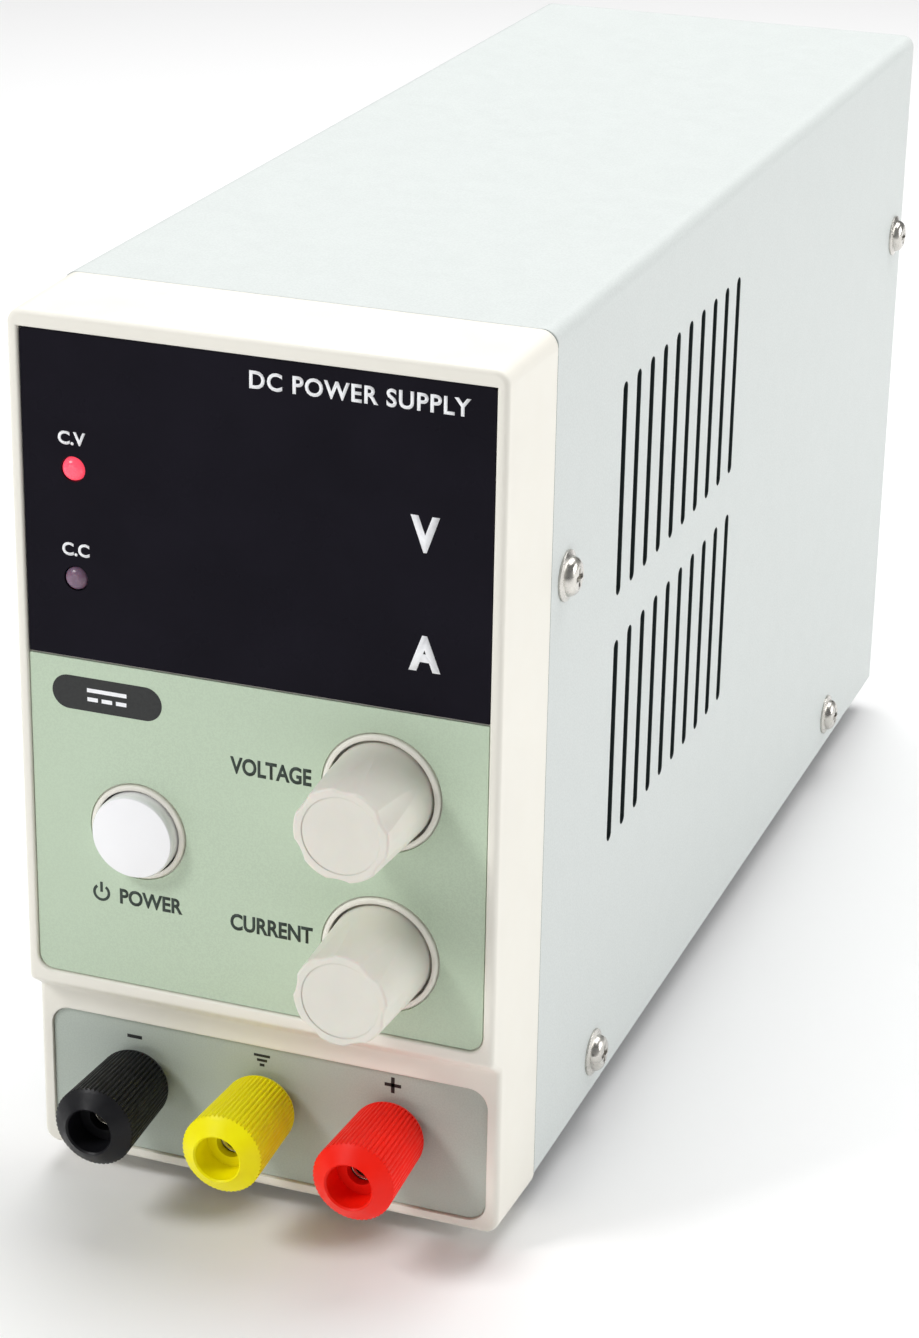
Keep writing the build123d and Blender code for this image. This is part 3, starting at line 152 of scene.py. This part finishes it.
class Finish:
    """One procedural material: a Principled shader and the nodes that drive it."""

    def __init__(self, name, color, roughness, metallic=0.0, **sockets):
        self.material = bpy.data.materials.new(name)
        self.material.use_nodes = True
        self.nodes = self.material.node_tree.nodes
        self.links = self.material.node_tree.links
        self.shader = self.nodes["Principled BSDF"]
        self.color = color
        self.shader.inputs["Base Color"].default_value = color
        self.shader.inputs["Roughness"].default_value = roughness
        self.shader.inputs["Metallic"].default_value = metallic
        for socket, value in sockets.items():
            self.shader.inputs[socket.replace("_", " ")].default_value = value
        self.place = self.nodes.new("ShaderNodeTexCoord").outputs["Object"]
        self.normal = None
        self.tone = color

    def add(self, kind, inputs=None, **settings):
        """Adds a node, sets its properties, and sets or links its inputs."""
        made = self.nodes.new(kind)
        for key, value in settings.items():
            setattr(made, key, value)
        for key, value in (inputs or {}).items():
            if isinstance(value, bpy.types.NodeSocket):
                self.links.new(value, made.inputs[key])
            else:
                made.inputs[key].default_value = value
        return made

    def noise(self, size_mm, detail=3.0, stretch=(1.0, 1.0, 1.0)):
        """Noise whose blobs are about size_mm across, from 0 to 1."""
        place = self.place
        if stretch != (1.0, 1.0, 1.0):
            place = self.add("ShaderNodeMapping", {"Vector": place, "Scale": stretch}).outputs["Vector"]
        made = self.add("ShaderNodeTexNoise", {
            "Vector": place, "Scale": 1.0 / (size_mm * MM), "Detail": detail})
        return made.outputs["Fac"]

    def spread(self, value, low, high, start=0.3, end=0.7):
        """Maps a 0 to 1 value to the range low to high, softly."""
        made = self.add("ShaderNodeMapRange", {
            "Value": value, "From Min": start, "From Max": end, "To Min": low, "To Max": high},
            interpolation_type="SMOOTHSTEP")
        return made.outputs["Result"]

    def mix(self, factor, first, second):
        """Mixes two colours by a factor."""
        made = self.add("ShaderNodeMix", data_type="RGBA")
        for socket, value in ((made.inputs[0], factor), (made.inputs[6], first), (made.inputs[7], second)):
            if isinstance(value, bpy.types.NodeSocket):
                self.links.new(value, socket)
            else:
                socket.default_value = value
        return made.outputs[2]

    def paint(self, color):
        """Sends a colour to the shader."""
        self.links.new(color, self.shader.inputs["Base Color"])

    def mottle(self, size_mm, depth):
        """Slow colour variation of plus or minus depth."""
        blobs = self.spread(self.noise(size_mm), 0.0, 1.0)
        self.tone = self.mix(blobs, shade(self.color, 1.0 - depth), shade(self.color, 1.0 + depth))
        self.paint(self.tone)
        return self

    def gloss(self, size_mm, low, high):
        """Roughness that wanders between low and high."""
        self.links.new(self.spread(self.noise(size_mm, 5.0), low, high), self.shader.inputs["Roughness"])
        return self

    def soften(self, radius_mm):
        """Rounds sharp edges in the shading."""
        self.normal = self.add("ShaderNodeBevel", {"Radius": radius_mm * MM}, samples=4).outputs["Normal"]
        self.links.new(self.normal, self.shader.inputs["Normal"])
        return self

    def bump(self, height, depth_mm, strength=1.0):
        """Adds a relief from a height value, on top of what is there already."""
        inputs = {"Height": height, "Distance": depth_mm * MM, "Strength": strength}
        if self.normal is not None:
            inputs["Normal"] = self.normal
        self.normal = self.add("ShaderNodeBump", inputs).outputs["Normal"]
        self.links.new(self.normal, self.shader.inputs["Normal"])
        return self

    def painted_edge_highlight(self, radius_mm, color, amount):
        """Paints a patchy colour along convex and concave edges, lightening or darkening them as the colour
        given: a painted highlight where it is lighter.
        """
        flat = self.add("ShaderNodeNewGeometry").outputs["Normal"]
        rounded = self.add("ShaderNodeBevel", {"Radius": radius_mm * MM}, samples=4).outputs["Normal"]
        facing = self.add("ShaderNodeVectorMath", operation="DOT_PRODUCT")
        self.links.new(flat, facing.inputs[0])
        self.links.new(rounded, facing.inputs[1])
        edge = self.spread(facing.outputs["Value"], amount, 0.0, 0.75, 0.99)
        patchy = self.add("ShaderNodeMath", {0: edge, 1: self.spread(self.noise(2.5, 4.0), 0.35, 1.0)},
                          operation="MULTIPLY").outputs[0]
        self.paint(self.mix(patchy, self.tone, color))
        return self


# ------------------------------------------------------------------ plastics
def bezel_plastic():
    """Warm-white moulding with a fine spark-eroded texture."""
    finish = Finish("bezel_plastic", srgb(238, 235, 225), 0.45, Specular_IOR_Level=0.35)
    finish.mottle(30.0, 0.012).soften(0.35).gloss(6.0, 0.36, 0.48)
    finish.bump(finish.noise(0.35, 2.0), 0.02, 0.35)
    # painted highlight: the bezel's edges are painted paler, as light catches them
    finish.painted_edge_highlight(0.5, srgb(250, 249, 243), 0.5)
    return finish.material


def knob_plastic():
    """Satin warm-white plastic, a little translucent at its rim."""
    finish = Finish("knob_plastic", srgb(226, 223, 213), 0.42, Specular_IOR_Level=0.3, Subsurface_Weight=0.2,
                    Subsurface_Scale=0.0015)
    finish.mottle(9.0, 0.02).soften(0.3).gloss(3.0, 0.33, 0.46)
    finish.bump(finish.noise(0.25, 2.0), 0.01, 0.3)
    return finish.material


def button_plastic():
    """Bright glossy white."""
    finish = Finish("button_plastic", srgb(247, 247, 249), 0.2, Coat_Weight=0.3)
    finish.mottle(12.0, 0.006).soften(0.2).gloss(4.0, 0.16, 0.26)
    finish.bump(finish.noise(1.5, 2.0), 0.004, 0.3)
    return finish.material


def cap_plastic(name, color, roughness):
    """Dyed moulding, with a painted highlight that makes the ribs and edges paler."""
    finish = Finish(name, color, roughness, Specular_IOR_Level=0.22)
    finish.mottle(4.0, 0.03).soften(0.12).gloss(2.0, roughness - 0.08, roughness + 0.1)
    finish.bump(finish.noise(0.3, 3.0), 0.012, 0.4)
    # painted highlight: the edges of the ribs are painted paler, as light catches them
    finish.painted_edge_highlight(0.25, shade(color, 1.3), 0.2)
    return finish.material


def dark_plastic(name="dark_plastic"):
    """Black moulded plastic of the fan, inlet and internal parts."""
    finish = Finish(name, srgb(32, 32, 34), 0.5)
    finish.mottle(8.0, 0.15).soften(0.2).gloss(3.0, 0.42, 0.6)
    finish.bump(finish.noise(0.4, 3.0), 0.015, 0.4)
    return finish.material


def foot_rubber():
    """Matt black rubber with dust in its pores."""
    finish = Finish("foot_rubber", srgb(28, 28, 29), 0.8)
    finish.mottle(3.0, 0.25).soften(0.3)
    finish.bump(finish.noise(0.5, 5.0), 0.04, 0.6)
    return finish.material


# ------------------------------------------------------------------ printed films and the window
def film(name, color):
    """Printed polyester film: a fine matt emboss and a faint unevenness of the ink."""
    finish = Finish(name, color, 0.5, Specular_IOR_Level=0.35)
    finish.mottle(25.0, 0.02)
    finish.tone = finish.mix(finish.spread(finish.noise(0.3, 2.0), 0.0, 1.0, 0.4, 0.6),
                             finish.tone, shade(color, 1.06))
    finish.paint(finish.tone)
    finish.gloss(10.0, 0.42, 0.56)
    finish.bump(finish.noise(0.22, 2.0), 0.012, 0.4)
    return finish.material


def smoked_window():
    """Nearly black acrylic with a clear coat and a few hairlines."""
    finish = Finish("smoked_window", srgb(23, 21, 29), 0.3, Specular_IOR_Level=0.04)
    finish.mottle(18.0, 0.12).gloss(12.0, 0.26, 0.36)
    finish.bump(finish.noise(0.8, 4.0, (1.0, 1.0, 0.05)), 0.003, 0.3)
    return finish.material


def ink(name, color):
    """Screen-printed ink, slightly uneven in gloss."""
    finish = Finish(name, color, 0.55)
    finish.mottle(1.0, 0.04).gloss(0.6, 0.48, 0.62)
    return finish.material


# ------------------------------------------------------------------ metals
def powder_coat():
    """Pale grey-green powder coat: orange peel, fine grain, faint cloudiness and painted shade on the walls
    of the slots.
    """
    finish = Finish("powder_coat", srgb(209, 214, 212), 0.5, Specular_IOR_Level=0.3)
    finish.mottle(60.0, 0.004)
    grain = finish.spread(finish.noise(0.35, 3.0), 0.0, 1.0, 0.35, 0.65)
    finish.tone = finish.mix(grain, shade(finish.color, 0.95), shade(finish.color, 1.02))
    # painted shade: the walls of the slots face neither side and are painted dark for the shade inside them;
    # the top bend is left out by its height
    facing = finish.add("ShaderNodeNewGeometry").outputs["Normal"]
    normal = finish.add("ShaderNodeSeparateXYZ", {"Vector": facing})
    place = finish.add("ShaderNodeSeparateXYZ", {"Vector": finish.place})
    sideways = finish.add("ShaderNodeMath", {0: normal.outputs["X"]}, operation="ABSOLUTE").outputs[0]
    wall = finish.add("ShaderNodeMath", {0: sideways, 1: 0.5}, operation="LESS_THAN").outputs[0]
    below_bend = finish.add("ShaderNodeMath", {0: place.outputs["Z"], 1: COVER_TOP_Z - TOP_BEND},
                            operation="LESS_THAN").outputs[0]
    painted_slot_shade = finish.add("ShaderNodeMath", {0: wall, 1: below_bend}, operation="MULTIPLY").outputs[0]
    finish.tone = finish.mix(painted_slot_shade, finish.tone, srgb(44, 54, 54))
    finish.paint(finish.tone)
    finish.soften(0.4).gloss(5.0, 0.44, 0.5)
    finish.bump(finish.noise(0.9, 3.0), 0.045, 0.55)
    finish.bump(finish.noise(0.25, 2.0), 0.015, 0.35)
    return finish.material


def plated_steel():
    """Zinc-plated sheet with rolling marks and cloudy spangle."""
    finish = Finish("plated_steel", srgb(190, 193, 195), 0.35, metallic=1.0)
    finish.mottle(14.0, 0.08).soften(0.3).gloss(8.0, 0.28, 0.46)
    finish.bump(finish.noise(0.3, 3.0, (1.0, 0.03, 1.0)), 0.01, 0.4)
    return finish.material


def plated_metal(name, color, roughness):
    """Bright plated or turned metal with fine machining marks."""
    finish = Finish(name, color, roughness, metallic=1.0)
    finish.mottle(3.0, 0.08).soften(0.12).gloss(1.5, roughness - 0.06, roughness + 0.1)
    finish.bump(finish.noise(0.15, 3.0), 0.006, 0.5)
    return finish.material


# ------------------------------------------------------------------ what is inside
def plain_part(name, color, roughness, metallic=0.0):
    """An internal component: even colour with small mottling and relief."""
    finish = Finish(name, color, roughness, metallic=metallic)
    finish.mottle(2.5, 0.12).soften(0.2).gloss(2.0, roughness - 0.06, roughness + 0.08)
    finish.bump(finish.noise(0.6, 3.0), 0.02, 0.4)
    return finish.material


def lamp(name, color, glow):
    """A diffused indicator lens, lit from inside if it glows."""
    finish = Finish(name, color, 0.25, Subsurface_Weight=0.3, Subsurface_Scale=0.001)
    finish.mottle(0.9, 0.08).gloss(1.0, 0.2, 0.3)
    finish.shader.inputs["Emission Color"].default_value = shade(color, 1.1)
    finish.shader.inputs["Emission Strength"].default_value = glow
    return finish.material


def copper_winding():
    """Enamelled wire laid round a core: fine ridges across the winding."""
    finish = Finish("copper_winding", srgb(168, 88, 48), 0.3, metallic=0.8)
    finish.mottle(2.0, 0.15)
    ridges = finish.add("ShaderNodeTexWave", {"Vector": finish.place, "Scale": 350.0, "Distortion": 1.5},
                        bands_direction="DIAGONAL").outputs["Fac"]
    finish.bump(ridges, 0.2, 0.7)
    return finish.material


def floor_paper():
    """Plain white paper sweep."""
    finish = Finish("floor_paper", (0.92, 0.92, 0.92, 1.0), 0.9, Specular_IOR_Level=0.1)
    finish.mottle(400.0, 0.004)
    return finish.material


SLOT_MATERIALS = {
    "bezel_plastic": bezel_plastic(),
    "smoked_window": smoked_window(),
    "overlay_film": film("overlay_film", srgb(188, 205, 182)),
    "terminal_film": film("terminal_film", srgb(178, 187, 178)),
    "powder_coat": powder_coat(),
    "plated_steel": plated_steel(),
    "nickel_screw": plated_metal("nickel_screw", srgb(205, 202, 196), 0.24),
    "foot_rubber": foot_rubber(),
    "knob_plastic": knob_plastic(),
    "shaft_metal": plated_metal("shaft_metal", srgb(214, 188, 128), 0.3),
    "component_metal": plated_metal("component_metal", srgb(180, 182, 184), 0.35),
    "button_plastic": button_plastic(),
    "black_plastic": dark_plastic("black_plastic"),
    "circuit_board": plain_part("circuit_board", srgb(36, 98, 58), 0.4),
    "display_plastic": dark_plastic("display_plastic"),
    "red_led": lamp("red_led", srgb(238, 70, 90), 0.9),
    "unlit_led": lamp("unlit_led", srgb(122, 96, 118), 0.0),
    "contact_metal": plated_metal("contact_metal", srgb(196, 190, 176), 0.25),
    "black_cap": cap_plastic("black_cap", srgb(24, 24, 27), 0.42),
    "yellow_cap": cap_plastic("yellow_cap", srgb(255, 242, 0), 0.42),
    "red_cap": cap_plastic("red_cap", srgb(255, 32, 14), 0.42),
    "brass_insert": plated_metal("brass_insert", srgb(206, 172, 98), 0.3),
    "fan_plastic": dark_plastic("fan_plastic"),
    "guard_wire": plated_metal("guard_wire", srgb(200, 200, 200), 0.22),
    "inlet_plastic": dark_plastic("inlet_plastic"),
    "fuse_glass": plain_part("fuse_glass", srgb(214, 220, 218), 0.15),
    "selector_red": cap_plastic("selector_red", srgb(196, 24, 22), 0.35),
    "ferrite": plain_part("ferrite", srgb(58, 58, 62), 0.55),
    "winding_tape": plain_part("winding_tape", srgb(232, 200, 62), 0.35),
    "heatsink": plain_part("heatsink", srgb(178, 180, 182), 0.38, metallic=1.0),
    "capacitor_sleeve": plain_part("capacitor_sleeve", srgb(36, 44, 78), 0.3),
    "copper_winding": copper_winding(),
    "lead_insulation": plain_part("lead_insulation", srgb(150, 28, 28), 0.5),
}

for entry in frame["record"]["subparts"]:
    cad_node = frame["nodes"][entry["node"]]
    cad_node.data.materials.clear()
    cad_node.data.materials.append(SLOT_MATERIALS[entry["material_slot"]])

WHITE_INK = ink("white_ink", srgb(246, 247, 250))
DARK_INK = ink("dark_ink", srgb(42, 56, 48))
BLACK_INK = ink("black_ink", srgb(28, 30, 30))


# ------------------------------------------------------------------ printing on the films
def print_mesh(name, shape, film_y, material):
    """Makes a printed piece from a flat bmesh drawn in x and z, a hair proud of its film."""
    mesh = bpy.data.meshes.new(name)
    shape.to_mesh(mesh)
    shape.free()
    piece = bpy.data.objects.new(name, mesh)
    bpy.context.collection.objects.link(piece)
    thickness = piece.modifiers.new("thickness", "SOLIDIFY")
    thickness.thickness = INK_T
    thickness.offset = 0.0
    piece.location = (0.0, film_y - INK_T / 3, 0.0)
    piece.data.materials.append(material)
    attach(piece, BODY)
    return piece


def print_text(name, text, centre, height_mm, width_mm, film_y, material, weight=0.03,
               spacing=1.0):
    """Prints a word with its middle at centre (x, z), fitted to a cap height and a width."""
    curve = bpy.data.curves.new(name, "FONT")
    curve.body = text
    curve.align_x = "CENTER"
    curve.align_y = "CENTER"
    curve.offset = weight
    curve.space_character = spacing
    curve.resolution_u = 4
    word = bpy.data.objects.new(name, curve)
    bpy.context.collection.objects.link(word)
    bpy.context.view_layer.update()
    mesh = bpy.data.meshes.new_from_object(word)
    shape = bmesh.new()
    shape.from_mesh(mesh)
    bpy.data.objects.remove(word)
    bpy.data.meshes.remove(mesh)
    xs = [v.co.x for v in shape.verts]
    ys = [v.co.y for v in shape.verts]
    scale_x = width_mm * MM / (max(xs) - min(xs))
    scale_y = height_mm * MM / (max(ys) - min(ys))
    mid_x = (max(xs) + min(xs)) / 2
    mid_y = (max(ys) + min(ys)) / 2
    for v in shape.verts:
        flat_x, flat_y = v.co.x, v.co.y
        v.co = (centre[0] + (flat_x - mid_x) * scale_x, 0.0, centre[1] + (flat_y - mid_y) * scale_y)
    return print_mesh(name, shape, film_y, material)


def add_bar(shape, centre, width_mm, height_mm):
    """Adds a flat rectangle to a printed shape."""
    half_w, half_h = width_mm * MM / 2, height_mm * MM / 2
    corners = [(-half_w, -half_h), (half_w, -half_h), (half_w, half_h), (-half_w, half_h)]
    shape.faces.new([shape.verts.new((centre[0] + x, 0.0, centre[1] + z)) for x, z in corners])


def add_arc_band(shape, centre, radius_mm, band_mm, start, end, steps=40):
    """Adds a flat curved band between two angles, in degrees from +X towards +Z."""
    inner, outer = (radius_mm - band_mm / 2) * MM, (radius_mm + band_mm / 2) * MM
    rows = []
    for i in range(steps + 1):
        angle = math.radians(start + (end - start) * i / steps)
        along_x, along_z = math.cos(angle), math.sin(angle)
        rows.append([shape.verts.new((centre[0] + r * along_x, 0.0, centre[1] + r * along_z))
                     for r in (inner, outer)])
    for (a, b), (c, d) in zip(rows, rows[1:]):
        shape.faces.new((a, b, d, c))


def add_pill(shape, centre, width_mm, height_mm, steps=20):
    """Adds a flat shape with two half-round ends."""
    radius = height_mm * MM / 2
    reach = width_mm * MM / 2 - radius
    rim = []
    for side, start in ((1, -90.0), (-1, 90.0)):
        for i in range(steps + 1):
            angle = math.radians(start + 180.0 * i / steps)
            x = centre[0] + side * reach + radius * math.cos(angle)
            z = centre[1] + radius * math.sin(angle)
            rim.append(shape.verts.new((x, 0.0, z)))
    shape.faces.new(rim)


def at(x_mm, height_mm):
    """A place on the front: x from the middle, height above the bezel face's lower edge."""
    return (x_mm * MM, BASE_Z + height_mm * MM)


def print_window():
    """Legends inside the dark window."""
    y = low_corner("display_window").y
    print_text("title_print", "DC POWER SUPPLY", at(17.9, 147.3), 3.0, 36.8, y, WHITE_INK,
               weight=0.024, spacing=1.1)
    print_text("cv_print", "C.V", at(-31.6, 133.4), 2.3, 4.9, y, WHITE_INK)
    print_text("cc_print", "C.C", at(-31.4, 114.4), 2.3, 4.9, y, WHITE_INK)
    print_text("volts_print", "V", at(29.1, 125.8), 6.1, 4.9, y, WHITE_INK, 0.045)
    print_text("amps_print", "A", at(29.3, 105.8), 6.1, 5.4, y, WHITE_INK, 0.045)


def print_controls():
    """Legends on the sage film: knob names, the power sign and a plain badge with a DC sign."""
    y = low_corner("control_overlay").y
    print_text("voltage_print", "VOLTAGE", at(2.8, 80.9), 3.1, 14.4, y, DARK_INK)
    print_text("current_print", "CURRENT", at(2.8, 52.2), 3.1, 14.9, y, DARK_INK)
    print_text("power_print", "POWER", at(-19.2, 53.0), 2.9, 11.6, y, DARK_INK)
    sign = bmesh.new()
    centre = at(-28.4, 53.0)
    add_arc_band(sign, centre, 1.35, 0.5, 125.0, 415.0)
    add_bar(sign, (centre[0], centre[1] + 1.05 * MM), 0.5, 1.9)
    print_mesh("power_sign", sign, y, DARK_INK)
    badge = bmesh.new()
    add_pill(badge, at(-26.5, 89.1), 19.9, 6.0)
    print_mesh("badge_print", badge, y, BLACK_INK)
    direct_current = bmesh.new()
    add_bar(direct_current, at(-26.5, 89.9), 7.2, 0.7)
    for i in (-1, 0, 1):
        add_bar(direct_current, at(-26.5 + 2.6 * i, 88.3), 1.9, 0.7)
    print_mesh("badge_sign", direct_current, y - INK_T, WHITE_INK)


def print_terminals():
    """Polarity and earth signs above the binding posts."""
    y = low_corner("terminal_overlay").y
    minus = bmesh.new()
    add_bar(minus, at(-24.8, 24.0), 2.8, 0.65)
    print_mesh("minus_sign", minus, y, BLACK_INK)
    earth = bmesh.new()
    for width, drop in ((3.0, 0.0), (1.9, 0.9), (0.9, 1.8)):
        add_bar(earth, at(-0.8, 25.3 - drop), width, 0.5)
    print_mesh("earth_sign", earth, y, BLACK_INK)
    plus = bmesh.new()
    add_bar(plus, at(23.2, 24.7), 3.0, 0.65)
    add_bar(plus, at(23.2, 24.7), 0.65, 3.0)
    print_mesh("plus_sign", plus, y, BLACK_INK)


add_camera()
add_floor(floor_paper())
add_studio()
print_window()
print_controls()
print_terminals()
